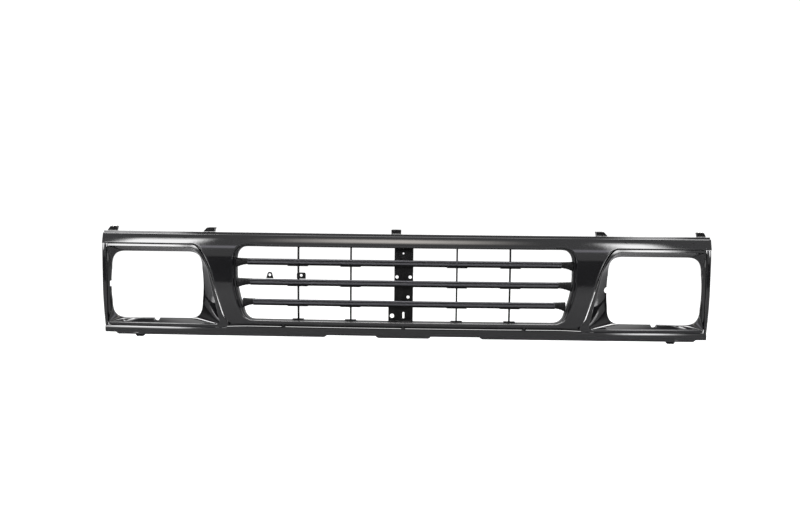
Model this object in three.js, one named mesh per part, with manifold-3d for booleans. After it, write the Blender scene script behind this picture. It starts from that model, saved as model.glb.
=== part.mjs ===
// Front grille with two headlamp openings and a slatted centre window, as an assembly of separate pieces.
// Millimetres. +X is the viewer's right, +Y points into the car, +Z is up. The origin is the centre of the box.

import * as THREE from 'three';
import { mergeVertices } from 'three/addons/utils/BufferGeometryUtils.js';
import Module from 'manifold-3d';

const wasm = await Module();
wasm.setup();

// ---- Driving dimensions -------------------------------------------------------------------------------

const HALF_WIDTH = 630;
const TOP = 209;              // top edge of the rail, above the valance's lower edge at the centre
const GAP = 0.3;              // clearance between neighbouring pieces
const WALL = 2.6;             // moulded wall
const SWEEP = 25;             // how far the ends stand behind the centre
const X_STEP = 42;            // length of one straight stretch of a swept piece

const LIP_HEIGHT = 4;         // upright lip along the top of the rail
const LIP_BACK = 2.5;         // how far the lip stands behind the rail's face
const RAIL_EDGE = 183;        // lower edge of the rail over the headlamps
const LOWER_RAIL_EDGE = 20;   // lower edge of the rail under the slats
const CROWN_START = 160;      // above this height the face rolls back
const CROWN_RADIUS = 95;
const TUCK_START = 110;       // below this height the face tucks under
const TUCK_RADIUS = 900;

const WINDOW = { top: 181, bottom: 27.5, side: 347.5, cornerTop: 28, cornerBottom: 24, taper: 15 };
const COLLAR_DEPTH = 32;      // depth of the walls round the slat window

const LAMP = { inner: 421.3, outer: 617.3, top: 166.5, bottom: 26, corner: 32, plane: 45 };
const MOUTH = { low: 17.5, high: 180, lowInner: 379, highInner: 413, outer: 620.5, back: 9, bulge: 2.4 };
const NOTCH = { radius: 6, sideHeight: 97, lowX: 520 };
const FLANGE = { inner: 398, outer: 619, top: 199, bottom: 1 };

const SLAT = { centres: [149.5, 107.6, 65.6], height: 14, front: 8, depth: 20, wall: 2.2 };
const SLAT_ENDS = [322.5, 317, 311];
const RIB = { pitch: 110, thick: 2.6, depth: 10, front: 28.6 };
const VALANCE = { top: 13, waist: 5, base: -1.2, flange: -5.2, depth: 36, half: 627, dip: 2.6 };
const POST = { inner: 620.8, outer: 629.5, depth: 16, taper: 3 };
const SCREEN = { half: 372, back: 22, bottom: 13.6 }; // wall that closes the slot above the valance
const BOSS_RADIUS = 5;
const PILOT_RADIUS = 2.4;
const SCREW_ROWS = { top: 192, bottom: 6 };           // heights of the lamp bezels' screws
const LAMP_SCREW_X = [452, 592];

const BRACKET = { left: -31.5, right: 19.5, kneeHeight: 60, sheet: 2.5, flange: 9 };
const BADGE_EAR = { height: 13, thick: 2.5, hole: 2.9, holeHeight: 7.2 };
const TAB = { top: 217.5, sheet: 2.5, hole: 3.2 };
const SPRING_NUT = { half: 4.7, sheet: 0.8, bore: 2.6 };
const PEG = { bottom: -12.5, half: 9, depth: 11, chamfer: 3, grooves: [-5.4, 0, 5.4] };

// ---- Form of the front: plan sweep and side profile ---------------------------------------------------

const sweepAt = (x) => SWEEP * (x / HALF_WIDTH) ** 2;

function profileAt(z) {
  const crown = Math.max(0, z - CROWN_START);
  const tuck = Math.max(0, TUCK_START - z);
  return crown ** 2 / (2 * CROWN_RADIUS) + tuck ** 2 / (2 * TUCK_RADIUS);
}

const faceAt = (x, z) => sweepAt(x) + profileAt(z);

// The valance hangs a little lower below the headlamps than below the slats.
const dipAt = (x) => VALANCE.dip * THREE.MathUtils.smoothstep(Math.abs(x), 320, 400);

// ---- Geometry helpers ---------------------------------------------------------------------------------

const AXES = {
  alongX: new THREE.Matrix4().set(0, 0, 1, 0, 1, 0, 0, 0, 0, 1, 0, 0, 0, 0, 0, 1),
  alongY: new THREE.Matrix4().set(1, 0, 0, 0, 0, 0, -1, 0, 0, 1, 0, 0, 0, 0, 0, 1),
};

const outline = (points) => new THREE.Shape(points.map(([u, v]) => new THREE.Vector2(u, v)));

// A section drawn in Y and Z, run along X.
function runX(section, from, to, steps = Math.max(1, Math.round((to - from) / X_STEP))) {
  const geometry = new THREE.ExtrudeGeometry(section, { depth: to - from, steps, bevelEnabled: false });
  return geometry.applyMatrix4(AXES.alongX).translate(from, 0, 0);
}

// A front view drawn in X and Z, run back along Y.
function runY(front, from, to, steps = 1, curveSegments = 6) {
  const options = { depth: to - from, steps, bevelEnabled: false, curveSegments };
  const geometry = new THREE.ExtrudeGeometry(front, options);
  return geometry.applyMatrix4(AXES.alongY).translate(0, to, 0);
}

// A plan drawn in X and Y, run up along Z.
function runZ(plan, from, to, steps = 1) {
  const geometry = new THREE.ExtrudeGeometry(plan, { depth: to - from, steps, bevelEnabled: false });
  return geometry.translate(0, 0, from);
}

function block(x0, x1, y0, y1, z0, z1) {
  const geometry = new THREE.BoxGeometry(x1 - x0, y1 - y0, z1 - z0);
  return geometry.translate((x0 + x1) / 2, (y0 + y1) / 2, (z0 + z1) / 2);
}

function rodY(x, z, radius, from, to, sides = 16) {
  return new THREE.CylinderGeometry(radius, radius, to - from, sides).translate(x, (from + to) / 2, z);
}

function rodZ(x, y, radius, from, to, sides = 16) {
  const geometry = new THREE.CylinderGeometry(radius, radius, to - from, sides).rotateX(Math.PI / 2);
  return geometry.translate(x, y, (from + to) / 2);
}

// Moves every vertex of a geometry by a rule.
function reshape(geometry, rule) {
  const position = geometry.attributes.position;
  const point = new THREE.Vector3();
  for (let i = 0; i < position.count; i++) {
    rule(point.fromBufferAttribute(position, i));
    position.setXYZ(i, point.x, point.y, point.z);
  }
  return geometry;
}

const sweep = (geometry) => reshape(geometry, (p) => { p.y += sweepAt(p.x); });
const sink = (geometry) => reshape(geometry, (p) => { p.z -= dipAt(p.x); });

function solid(geometry) {
  const bare = geometry.clone();
  bare.deleteAttribute('normal');
  bare.deleteAttribute('uv');
  const merged = mergeVertices(bare, 1e-3);
  const mesh = new wasm.Mesh({
    numProp: 3,
    vertProperties: new Float32Array(merged.attributes.position.array),
    triVerts: new Uint32Array(merged.index.array),
  });
  return new wasm.Manifold(mesh);
}

function surface(body) {
  const mesh = body.getMesh();
  const geometry = new THREE.BufferGeometry();
  geometry.setAttribute('position', new THREE.BufferAttribute(mesh.vertProperties, 3));
  geometry.setIndex(new THREE.BufferAttribute(mesh.triVerts, 1));
  geometry.computeVertexNormals();
  return geometry;
}

const join = (...bodies) => bodies.reduce((whole, body) => whole.add(body));
const cut = (body, ...tools) => tools.reduce((rest, tool) => rest.subtract(tool), body);

// ---- Shared outlines ----------------------------------------------------------------------------------

// Heights at which the curved side profile is sampled, from the lower end up.
function profileHeights(from, to) {
  const samples = [50, 80, TUCK_START, CROWN_START, 172, 184, 195];
  return [from, ...samples.filter((z) => z > from && z < to), to];
}

// A wall that follows the side profile between two heights, from `front` to `back` behind the face.
function wallSection(from, to, front, back) {
  const heights = profileHeights(from, to);
  const face = heights.map((z) => [profileAt(z) + front, z]);
  const rear = heights.map((z) => [profileAt(z) + back, z]).reverse();
  return outline([...face, ...rear]);
}

// The slat window, grown outwards by `grow`. Its sides lean in towards the bottom.
function windowOutline(grow = 0) {
  const { top, bottom, side, cornerTop, cornerBottom, taper } = WINDOW;
  const high = top + grow;
  const low = bottom - grow;
  const wide = side + grow;
  const narrow = wide - taper;
  const shape = new THREE.Shape();
  shape.moveTo(-narrow + cornerBottom, low);
  shape.lineTo(narrow - cornerBottom, low);
  shape.quadraticCurveTo(narrow - 2, low, narrow + 1, low + cornerBottom);
  shape.quadraticCurveTo(wide, TUCK_START - 20, wide, TUCK_START + 15);
  shape.lineTo(wide, high - cornerTop);
  shape.quadraticCurveTo(wide, high, wide - cornerTop, high);
  shape.lineTo(-wide + cornerTop, high);
  shape.quadraticCurveTo(-wide, high, -wide, high - cornerTop);
  shape.lineTo(-wide, TUCK_START + 15);
  shape.quadraticCurveTo(-wide, TUCK_START - 20, -narrow - 1, low + cornerBottom);
  shape.quadraticCurveTo(-narrow + 2, low, -narrow + cornerBottom, low);
  return shape;
}

// The headlamp side of a pillar, from the rail down to the lower rail, moved by `shift` away from the window.
function pillarEdge(shape, shift, railEdge, lowerEdge) {
  shape.lineTo(436 + shift, railEdge);
  shape.quadraticCurveTo(423 + shift, railEdge - 2, 415 + shift, railEdge - 18);
  shape.bezierCurveTo(398 + shift, 135, 395 + shift, 108, 388 + shift, 84);
  shape.lineTo(373 + shift, lowerEdge + 18);
  shape.quadraticCurveTo(367 + shift, lowerEdge, 350 + shift, lowerEdge);
}

// Front view of the surround: top rail, two pillars and lower rail, drawn in by `inset` all round.
function surroundOutline(inset = 0) {
  const half = new THREE.Shape();
  half.moveTo(0, TOP - inset);
  half.lineTo(HALF_WIDTH - inset, TOP - inset);
  half.lineTo(HALF_WIDTH - inset, RAIL_EDGE + inset);
  pillarEdge(half, -inset, RAIL_EDGE + inset, LOWER_RAIL_EDGE + inset);
  half.lineTo(0, LOWER_RAIL_EDGE + inset);
  const right = half.getPoints(6).slice(0, -1).map((p) => [p.x, p.y]);
  const left = right.slice(1, -1).map(([x, z]) => [-x, z]).reverse();
  return outline([...right, ...left]);
}

// ---- Where the screws go ------------------------------------------------------------------------------

const VALANCE_SCREWS = [-250, 0, 250];
const valanceScrewY = (x) => sweepAt(x) + 24;

// Screw places of the right-hand lamp bezel and, mirrored, of the left-hand one, along its top or bottom.
function lampScrews(row, sides = [-1, 1]) {
  return sides.flatMap((side) => LAMP_SCREW_X.map((x) => [side * x, SCREW_ROWS[row]]));
}

// The hole that a lamp bezel's screw cuts its thread in, from the bezel's plate forwards.
const lampPilot = (x, z) => solid(rodY(x, z, PILOT_RADIUS, LAMP.plane - 14, LAMP.plane + 1, 10));

// ---- Surround: rail, pillars and lower rail in one moulding -------------------------------------------

function railSection() {
  const step = TOP - LIP_HEIGHT;
  const face = profileAt(step) + 1;
  const lip = profileAt(TOP) + LIP_BACK;
  const shelfEnd = lip + 26;
  return outline([
    [face, step], [lip, step], [lip, TOP], [shelfEnd, TOP], [shelfEnd, TOP - WALL],
    [lip + WALL, TOP - WALL], [lip + WALL, step - WALL], [face, step - WALL],
  ]);
}

function makeSurround() {
  const shellTop = TOP - LIP_HEIGHT;
  const front = (shape, from, to) => solid(runY(shape, from, to));
  const band = (from, to, back) => (
    solid(sweep(runX(wallSection(from, to, 0, back), -HALF_WIDTH, HALF_WIDTH)))
  );
  const skin = band(LOWER_RAIL_EDGE, shellTop, WALL).intersect(front(surroundOutline(), -20, 80));
  const rim = band(LOWER_RAIL_EDGE, shellTop, 8)
    .intersect(cut(front(surroundOutline(), -20, 80), front(surroundOutline(WALL), -30, 90)));
  const collar = band(WINDOW.bottom - WALL, WINDOW.top + WALL, COLLAR_DEPTH)
    .intersect(front(windowOutline(WALL), -20, 90));
  const shelf = solid(sweep(runX(railSection(), -HALF_WIDTH + 1, HALF_WIDTH - 1)));
  const bossTop = WINDOW.bottom - 1;
  const bosses = [
    ...lampScrews('top').map(([x, z]) => solid(rodY(x, z, BOSS_RADIUS, faceAt(x, z) + 1, LAMP.plane - GAP))),
    ...VALANCE_SCREWS.map((x) => solid(rodZ(x, valanceScrewY(x), BOSS_RADIUS, VALANCE.top + GAP, bossTop))),
  ];
  const pilots = [
    ...lampScrews('top').map(([x, z]) => lampPilot(x, z)),
    ...VALANCE_SCREWS.map((x) => solid(rodZ(x, valanceScrewY(x), PILOT_RADIUS, 0, bossTop - 3, 10))),
  ];
  const body = cut(join(skin, rim, collar, shelf, makeScreen()), front(windowOutline(), -30, 100));
  return cut(join(body, ...bosses), ...pilots);
}

// An upright wall under the slat window's lower wall, which hides what is behind the slot above the valance.
function makeScreen() {
  const { half, back, bottom } = SCREEN;
  const high = WINDOW.bottom - 1;
  const section = outline([[back, bottom], [back, high], [back + WALL, high], [back + WALL, bottom]]);
  return solid(sink(sweep(runX(section, -half, half))));
}

// ---- Screws -------------------------------------------------------------------------------------------

// A pan-head self-tapping screw whose head sits at the origin and whose point runs along +Y.
function screwProfile(length) {
  const points = [[0, -2.6], [2.6, -2.6], [4.2, -1.4], [4.4, 0], [1.9, 0], [1.9, length - 2], [0, length]];
  const lathe = new THREE.LatheGeometry(points.map(([r, y]) => new THREE.Vector2(r, y)), 10);
  const recess = [block(-0.6, 0.6, -3, -1.4, -2, 2), block(-2, 2, -3, -1.4, -0.6, 0.6)].map(solid);
  return cut(solid(lathe), ...recess);
}

// ---- Headlamp bezels ----------------------------------------------------------------------------------

// Front view of the lamp opening, with slightly bowed sides. `grow` widens it.
function lampOutline(side, grow = 0) {
  const inner = LAMP.inner - grow;
  const outer = LAMP.outer + grow;
  const low = LAMP.bottom - grow;
  const high = LAMP.top + grow;
  const middle = (low + high) / 2;
  const r = LAMP.corner;
  const bow = 2;
  const shape = new THREE.Shape();
  shape.moveTo(inner + r, low);
  shape.lineTo(outer - r, low);
  shape.bezierCurveTo(outer - 10, low, outer - bow, low + 10, outer - bow, low + r + 4);
  shape.quadraticCurveTo(outer + bow, middle, outer - bow, high - r - 4);
  shape.bezierCurveTo(outer - bow, high - 10, outer - 10, high, outer - r, high);
  shape.lineTo(inner + r, high);
  shape.bezierCurveTo(inner + 10, high, inner + bow, high - 10, inner + bow, high - r - 4);
  shape.quadraticCurveTo(inner - bow, middle, inner + bow, low + r + 4);
  shape.bezierCurveTo(inner + bow, low + 10, inner + 10, low, inner + r, low);
  return side > 0 ? shape : outline(shape.getPoints(6).slice(1).map((p) => [-p.x, p.y]));
}

// Where a point of the lamp opening's edge ends up at the mouth of the funnel, `wall` outside it.
function mouthPoint(x, z, wall) {
  const across = (Math.abs(x) - LAMP.inner) / (LAMP.outer - LAMP.inner);
  const up = (z - LAMP.bottom) / (LAMP.top - LAMP.bottom);
  const height = THREE.MathUtils.lerp(MOUTH.low, MOUTH.high, up);
  const bulge = up < 0.5 ? MOUTH.bulge * Math.sin(Math.PI * up) : 0;
  const inner = THREE.MathUtils.lerp(MOUTH.lowInner, MOUTH.highInner, up) - bulge;
  const width = THREE.MathUtils.lerp(inner, MOUTH.outer, across);
  return [Math.sign(x) * (width + wall * (across > 0.5 ? 1 : -1)), height + wall * (up > 0.5 ? 1 : -1)];
}

function makeLampBezel(side) {
  // The funnel between the opening's edge at `rear` and the mouth; `reach` above 1 runs on past the mouth.
  const funnel = (grow, rear, reach) => {
    const wall = grow ? WALL - GAP : 0;
    return solid(reshape(runY(lampOutline(side, grow), 0, 1, 1, 5), (p) => {
      const toFront = p.y > 0.5 ? 0 : reach;
      const [x, z] = mouthPoint(p.x, p.z, wall);
      p.x = THREE.MathUtils.lerp(p.x, x, toFront);
      p.z = THREE.MathUtils.lerp(p.z, z, toFront);
      p.y = THREE.MathUtils.lerp(rear, faceAt(x, z) + MOUTH.back, toFront);
    }));
  };
  const inner = funnel(0, LAMP.plane + 1, 1.4);
  const shell = funnel(WALL, LAMP.plane + 1, 1);
  const plate = solid(block(
    side > 0 ? FLANGE.inner : -FLANGE.outer, side > 0 ? FLANGE.outer : -FLANGE.inner,
    LAMP.plane, LAMP.plane + WALL, FLANGE.bottom, FLANGE.top,
  ));
  const opening = solid(runY(lampOutline(side), LAMP.plane - 0.4, LAMP.plane + 20, 1, 5));
  const sideEdge = side > 0 ? LAMP.inner : -LAMP.outer;
  const notches = [[sideEdge, NOTCH.sideHeight], [side * NOTCH.lowX, LAMP.bottom]]
    .map(([x, z]) => solid(rodY(x, z, NOTCH.radius, LAMP.plane - 7, 70)));
  const holes = ['top', 'bottom'].flatMap((row) => lampScrews(row, [side]))
    .map(([x, z]) => solid(rodY(x, z, PILOT_RADIUS, LAMP.plane - 1, LAMP.plane + 10, 10)));
  return cut(join(shell, plate), inner, opening, ...notches, ...holes);
}

// ---- Valance: the strip below the lamps and the lower rail --------------------------------------------

function makeValance() {
  const { top, waist, base, flange, depth, half } = VALANCE;
  const tuck = profileAt(base);
  const section = outline([
    [tuck + 3, top], [tuck + 1, top - 1.5], [tuck, waist], [tuck + 1.5, base],
    [tuck + depth, base], [tuck + depth, base + WALL], [tuck + 4, base + WALL],
    [tuck + WALL, waist], [tuck + 4, top - WALL], [tuck + 26, top - WALL], [tuck + 26, top],
  ]);
  const strip = solid(sink(sweep(runX(section, -half, half))));
  const hem = (x0, x1) => {
    const drop = [[x0, base + 2], [x1, base + 2], [x1, base], [x1 - 5, flange], [x0 + 5, flange], [x0, base]];
    const sheet = [[tuck + 2.5, flange], [tuck + 2.5, base + 2], [tuck + 5, base + 2], [tuck + 5, flange]];
    const curtain = solid(sweep(runX(outline(sheet), x0, x1)));
    const trimmed = curtain.intersect(solid(runY(outline(drop), -10, 80)));
    return solid(sink(surface(trimmed)));
  };
  const hems = [[-604, -158], [-56, 57], [158, 605]].map(([x0, x1]) => hem(x0, x1));
  const bosses = lampScrews('bottom').map(([x, z]) => (
    solid(rodY(x, z - 0.5, BOSS_RADIUS - 0.4, faceAt(x, z) + 3.5, LAMP.plane - GAP, 12))
  ));
  const bores = [
    ...lampScrews('bottom').map(([x, z]) => lampPilot(x, z)),
    ...VALANCE_SCREWS.map((x) => solid(rodZ(x, valanceScrewY(x), PILOT_RADIUS, top - 8, top + 4, 10))),
  ];
  const behind = solid(block(-HALF_WIDTH, HALF_WIDTH, LAMP.plane - GAP, 100, -20, 40));
  return cut(join(strip, ...hems, ...bosses), behind, ...bores);
}

// ---- End posts: the outer uprights beside the headlamps ------------------------------------------------

function makeEndPost(side) {
  const top = RAIL_EDGE - GAP;
  const bottom = VALANCE.top - VALANCE.dip + GAP;
  const { inner, outer, depth, taper } = POST;
  const plan = outline([
    [inner, 1.5], [outer - 2.5, 0.8], [outer, 3], [outer, depth],
    [outer - WALL, depth], [outer - WALL, 1.5 + WALL], [inner, 1.5 + WALL],
  ].map(([x, y]) => [side * x, y]));
  return solid(reshape(runZ(plan, bottom, top, 6), (p) => {
    const low = Math.max(0, 1 - p.z / TUCK_START);
    const free = Math.abs(p.x) > inner + 1;
    p.x -= free ? side * taper * low ** 2 : 0;
    p.y += faceAt(p.x, p.z);
  }));
}

// ---- Slats, their end feet and the ribs behind them ----------------------------------------------------

// A hollow blade, open at the back: rounded nose, top and bottom walls that close towards the rear.
function slatSection(z) {
  const { height, front, depth, wall } = SLAT;
  const y = profileAt(z) + front;
  const h = height / 2;
  return outline([
    [y + 1.6, z - h], [y + 0.3, z - h + 1.2], [y, z], [y + 0.5, z + h - 1.4], [y + 2, z + h],
    [y + depth, z + h - 2.4], [y + depth, z + h - 2.4 - wall], [y + wall + 1, z + h - wall],
    [y + wall, z], [y + wall + 1, z - h + wall], [y + depth, z - h + 2.4 + wall], [y + depth, z - h + 2.4],
  ]);
}

function makeSlat(level) {
  const z = SLAT.centres[level];
  const end = SLAT_ENDS[level];
  return solid(sweep(runX(slatSection(z), -end, end)));
}

// Half width of the window at a height, measured on the same curve as its outline.
function windowHalfWidth(z) {
  const points = windowOutline().getPoints(12).filter((p) => p.x > 0);
  for (let i = 1; i < points.length; i++) {
    const [a, b] = [points[i - 1], points[i]];
    if ((a.y - z) * (b.y - z) <= 0 && a.y !== b.y) {
      return a.x + ((b.x - a.x) * (z - a.y)) / (b.y - a.y);
    }
  }
  return WINDOW.side;
}

// A flared foot that carries the end of a slat on the window's side wall.
function makeSlatFoot(level, side) {
  const z = SLAT.centres[level];
  const inner = SLAT_ENDS[level] + GAP;
  const half = SLAT.height / 2;
  const high = z + half + 1;
  const low = z - half - 7;
  const outer = Math.min(windowHalfWidth(high), windowHalfWidth(low)) - GAP;
  const span = outer - inner;
  const across = (reach) => side * (inner + reach * span);
  const front = new THREE.Shape();
  front.moveTo(across(0), z - half);
  front.quadraticCurveTo(across(0.7), z - half - 1, across(1), low);
  front.lineTo(across(1), high);
  front.quadraticCurveTo(across(0.7), z + half, across(0), z + half);
  const foot = runY(front, 0, SLAT.depth, 1, 4);
  return solid(reshape(foot, (p) => { p.y += SLAT.front + 1 + faceAt(p.x, p.z); }));
}

// An upright blade behind the slats, with a saddle under each slat and a foot on the lower wall.
function makeRib(x) {
  const { thick, depth, front } = RIB;
  const high = WINDOW.top - GAP;
  const low = WINDOW.bottom + GAP;
  const heights = profileHeights(low, high);
  const section = outline([
    ...heights.map((z) => [profileAt(z) + front, z]).reverse(),
    ...heights.map((z) => [profileAt(z) + front + depth, z]),
  ]);
  const at = (z) => faceAt(x, z);
  const blade = solid(runX(section, x - thick / 2, x + thick / 2, 1).translate(0, sweepAt(x), 0));
  const saddles = SLAT.centres.map((z) => {
    const top = z - SLAT.height / 2 + 1.2;
    return solid(block(x - 21, x + 21, at(z) + front - 7, at(z) + front + 4, top - 3.5, top));
  });
  const foot = solid(block(x - 7, x + 7, at(low) + front - 3, at(low) + front + 4, low, low + 5));
  return join(blade, ...saddles, foot);
}

// ---- Centre bracket: the dark plate that ties the slats together and carries the latch gear ------------

function makeCentreBracket() {
  const high = WINDOW.top - GAP;
  const low = WINDOW.bottom + GAP;
  const front = RIB.front;
  const { left, right, kneeHeight, sheet: thick, flange } = BRACKET;
  const plate = outline([
    [left, low], [right, low], [right, high], [-right, high], [-right, kneeHeight], [left, kneeHeight],
  ]);
  const heights = profileHeights(low, high);
  const section = (from, to) => outline([
    ...heights.map((z) => [profileAt(z) + from, z]).reverse(),
    ...heights.map((z) => [profileAt(z) + to, z]),
  ]);
  const sheet = solid(runX(section(front, front + thick), -40, 40, 1)).intersect(solid(runY(plate, 0, 90)));
  const flanges = [-right, right - thick]
    .map((x) => solid(runX(section(front, front + flange), x, x + thick, 1)));
  const web = solid(runX(section(front, front + 2 * thick), -5.5, 5.5, 1))
    .intersect(solid(block(-9, 9, 0, 90, kneeHeight + 2, 150)));
  const round = (x, z, radius) => solid(rodY(x, z, radius, 10, 70));
  const slot = solid(block(-2, 2, 10, 70, 33, 47));
  return cut(
    join(sheet, ...flanges, web),
    round(-14, 120, 3.4), round(13.4, 120, 3.4), round(9.3, 78.3, 3.2), round(-23.6, 38.4, 4.6),
    round(-1, 169, 1.8), slot,
  );
}

// ---- Badge ears on the middle slat --------------------------------------------------------------------

function makeBadgeEar(x, width, pointed) {
  const base = SLAT.centres[1] + SLAT.height / 2 + GAP;
  const y = faceAt(x, base) + SLAT.front + 6;
  const { height, thick, hole, holeHeight } = BADGE_EAR;
  const shape = new THREE.Shape();
  const shoulder = pointed ? width * 0.22 : width * 0.42;
  shape.moveTo(x - width / 2, base);
  shape.lineTo(x + width / 2, base);
  shape.lineTo(x + shoulder + 1.5, base + height - 3);
  shape.quadraticCurveTo(x + shoulder, base + height, x + shoulder - 2, base + height);
  shape.lineTo(x - shoulder + 2, base + height);
  shape.quadraticCurveTo(x - shoulder, base + height, x - shoulder - 1.5, base + height - 3);
  shape.lineTo(x - width / 2, base);
  const ear = solid(runY(shape, y, y + thick));
  return cut(ear, solid(rodY(x, base + holeHeight, hole, y - 5, y + 10)));
}

// ---- Top tabs, spring nuts and bottom pegs -------------------------------------------------------------

// The front of a tab, and where its screw hole is, for an ear of a given length.
const tabFront = (x) => faceAt(x, TOP) + LIP_BACK + 12;
const holeBack = (ear) => 0.56 * ear;

// An upright on the rail's shelf with a flat ear running back, a screw hole and a gusset each side.
function makeTab(x, width, slant, ear) {
  const { top, sheet, hole } = TAB;
  const y = tabFront(x);
  const base = TOP + GAP;
  const [left, right] = [x - width / 2, x + width / 2];
  const upright = solid(runY(outline([
    [left - Math.max(0, -slant), base], [left, top], [right, top], [right + Math.max(0, slant), base],
  ]), y, y + sheet));
  const leaf = solid(block(left, right, y, y + ear, top - sheet, top));
  const profile = [[y, base], [y, top - 1], [y + 0.83 * ear, top - 1], [y + 0.54 * ear, base]];
  const gussets = [left, right - 2].map((edge) => solid(runX(outline(profile), edge, edge + 2, 1)));
  const bore = solid(rodZ(x, y + holeBack(ear), hole, top - 6, top + 3, 14));
  return cut(join(upright, leaf, ...gussets), bore);
}

// A folded sheet-metal nut: one leaf over the tab's ear, one below it, joined round its rear edge.
function makeSpringNut(x, ear) {
  const { half, sheet, bore } = SPRING_NUT;
  const y = tabFront(x);
  const low = TAB.top - TAB.sheet - GAP;
  const high = TAB.top + GAP;
  const front = y + 0.3 * ear;
  const rear = y + ear + GAP;
  const section = outline([
    [front + 1, low], [rear, low], [rear, high], [front, high],
    [front, high + sheet], [rear + sheet, high + sheet],
    [rear + sheet, low - sheet], [front + 1, low - sheet],
  ]);
  const leaf = solid(runX(section, x - half, x + half, 1));
  return cut(leaf, solid(rodZ(x, y + holeBack(ear), bore, TAB.top - 6, TAB.top + 3, 14)));
}

// A ribbed locating peg below the valance, chamfered at its tip.
function makePeg(x) {
  const { bottom, half, depth, chamfer, grooves } = PEG;
  const top = VALANCE.base - VALANCE.dip - GAP;
  const y = LAMP.plane - 1 - depth;
  const body = outline([
    [-half, top], [-half, bottom + chamfer], [-half + chamfer, bottom],
    [half - chamfer, bottom], [half, bottom + chamfer], [half, top],
  ]);
  const core = solid(runY(body, y, y + depth)).translate(x, 0, 0);
  const channels = grooves.map((offset) => (
    solid(block(x + offset - 1, x + offset + 1, y - 1, y + 1.6, bottom - 1, top - 2))
  ));
  return cut(core, ...channels);
}

// ---- Materials ----------------------------------------------------------------------------------------

const FINISH = {
  glossBlack: { color: 0x0b0b0d, roughness: 0.12, metalness: 0 },
  satinGraphite: { color: 0x3a3a42, roughness: 0.38, metalness: 0.35 },
  rawBlack: { color: 0x121214, roughness: 0.62, metalness: 0 },
  zinc: { color: 0xb4b4ae, roughness: 0.35, metalness: 1 },
};

// ---- Assembly -----------------------------------------------------------------------------------------

const grille = new THREE.Group();

function place(name, body, finish) {
  const mesh = new THREE.Mesh(surface(body), new THREE.MeshStandardMaterial(FINISH[finish]));
  mesh.name = name;
  grille.add(mesh);
  return mesh;
}

function placeScrew(name, x, y, z, length, upright) {
  const mesh = place(name, screwProfile(length), 'zinc');
  mesh.rotation.x = upright ? Math.PI / 2 : Math.PI;
  mesh.position.set(x, y, z);
}

const SIDES = [['left', -1], ['right', 1]];
const LEVELS = ['upper', 'middle', 'lower'];

place('surround', makeSurround(), 'glossBlack');
place('valance', makeValance(), 'glossBlack');

for (const [word, side] of SIDES) {
  place(`end_post_${word}`, makeEndPost(side), 'glossBlack');
  place(`lamp_bezel_${word}`, makeLampBezel(side), 'glossBlack');
}

LEVELS.forEach((level, index) => {
  place(`slat_${level}`, makeSlat(index), 'satinGraphite');
  for (const [word, side] of SIDES) {
    place(`slat_foot_${level}_${word}`, makeSlatFoot(index, side), 'rawBlack');
  }
});

[['outer_left', -2], ['inner_left', -1], ['inner_right', 1], ['outer_right', 2]].forEach(([word, step]) => {
  place(`rib_${word}`, makeRib(step * RIB.pitch), 'rawBlack');
});

place('centre_bracket', makeCentreBracket(), 'rawBlack');
place('badge_ear_outer', makeBadgeEar(-277, 15, true), 'rawBlack');
place('badge_ear_inner', makeBadgeEar(-211.5, 18.5, false), 'rawBlack');

// Place, width, slant of the outer edge and length of the ear of each tab.
const TABS = {
  end_left: [-612.5, 14, -6, 15],
  inner_left: [-404, 15, -8, 24],
  centre: [-16.5, 20, 0, 24],
  inner_right: [404, 15, 8, 24],
  end_right: [613, 14, 4, 15],
};
for (const [word, [x, width, slant, ear]] of Object.entries(TABS)) {
  place(`tab_${word}`, makeTab(x, width, slant, ear), 'rawBlack');
}

for (const [word, side] of SIDES) {
  const [tabX, , , ear] = TABS[`end_${word}`];
  place(`spring_nut_${word}`, makeSpringNut(tabX, ear), 'zinc');
  place(`locating_peg_${word}`, makePeg(side * 554), 'rawBlack');
  for (const row of ['top', 'bottom']) {
    lampScrews(row, [side]).forEach(([x, z], index) => {
      const name = `bezel_screw_${word}_${row}_${index === 0 ? 'inner' : 'outer'}`;
      placeScrew(name, x, LAMP.plane + WALL + GAP, z, 12, false);
    });
  }
}

VALANCE_SCREWS.forEach((x, index) => {
  placeScrew(`valance_screw_${index + 1}`, x, valanceScrewY(x), VALANCE.top - WALL - GAP, 9, true);
});

// The origin goes to the centre of the whole assembly's box.
const centre = new THREE.Box3().setFromObject(grille).getCenter(new THREE.Vector3());
grille.position.copy(centre).negate();

export default grille;
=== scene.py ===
"""Gloss black front grille: fine surfaces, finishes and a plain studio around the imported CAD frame.

Shapes are drawn in millimetres on the grille's own axes: X to the viewer's right, Y into the vehicle from
the sweep's foremost point, Z up from a level 209 below the rail's top edge. to_frame() turns them into the
frame's metres.
"""
import math

import bmesh
import bpy
import numpy as np
from mathutils import Matrix, Vector
from mathutils.geometry import delaunay_2d_cdt


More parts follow.
